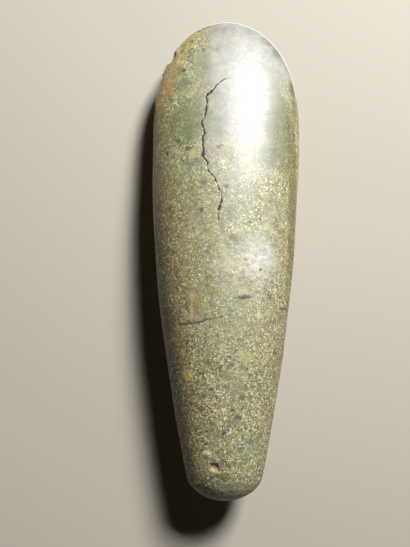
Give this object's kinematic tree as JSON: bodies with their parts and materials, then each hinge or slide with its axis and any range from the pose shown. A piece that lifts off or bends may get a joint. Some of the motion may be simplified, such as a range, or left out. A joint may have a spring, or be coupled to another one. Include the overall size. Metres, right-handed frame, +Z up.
{
  "type": "polished stone axe head",
  "caption": "Ground and polished greenstone axe head: long tapering body of oval section, rounded butt and a broad curved cutting edge, lying on one face.",
  "frame": {"origin": "middle of the footprint at the level it rests on", "axes": "+Y from the butt towards the cutting edge, +X to the right seen from above, +Z up"},
  "size_m": [0.077, 0.2498, 0.0518],
  "materials": {
    "greenstone": "pecked body, polished cutting end"
  },
  "bodies": {
    "root": {"axe_head": "greenstone"}
  },
  "joints": []
}
